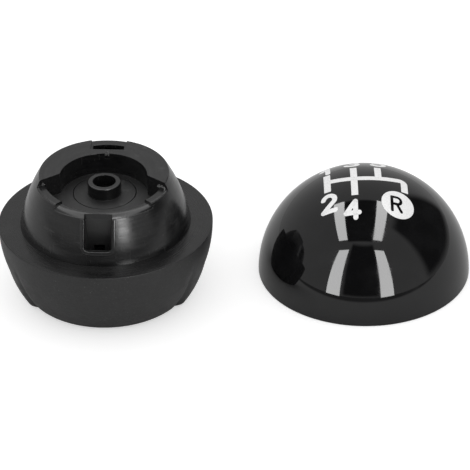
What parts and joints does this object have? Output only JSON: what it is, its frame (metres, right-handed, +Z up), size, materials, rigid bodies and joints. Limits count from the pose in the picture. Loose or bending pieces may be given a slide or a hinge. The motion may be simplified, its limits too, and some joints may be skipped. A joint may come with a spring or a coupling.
{
  "type": "gear shift knob",
  "caption": "Ball-shaped gear shift knob with its clip-on cap off: a soft grip base with moulded core, lever socket and latch pocket, and a glossy half-ball cap printed with a shift pattern.",
  "frame": {"origin": "on the lever socket's axis, at its mouth on the floor plane under the base", "axes": "+Z up along the lever socket's axis, -Y towards the latch pocket, +X towards the cap that lies beside the base"},
  "size_m": [0.119, 0.0646, 0.0337],
  "materials": {
    "cap_gloss": "polished black, white print on the crown",
    "core_satin": "satin black, as moulded",
    "grip_soft": "matte black with a fine grain",
    "bush_satin": "satin black, as moulded"
  },
  "bodies": {
    "root": {"cap": "cap_gloss", "core": "core_satin", "grip": "grip_soft", "lever_bush": "bush_satin"}
  },
  "joints": []
}
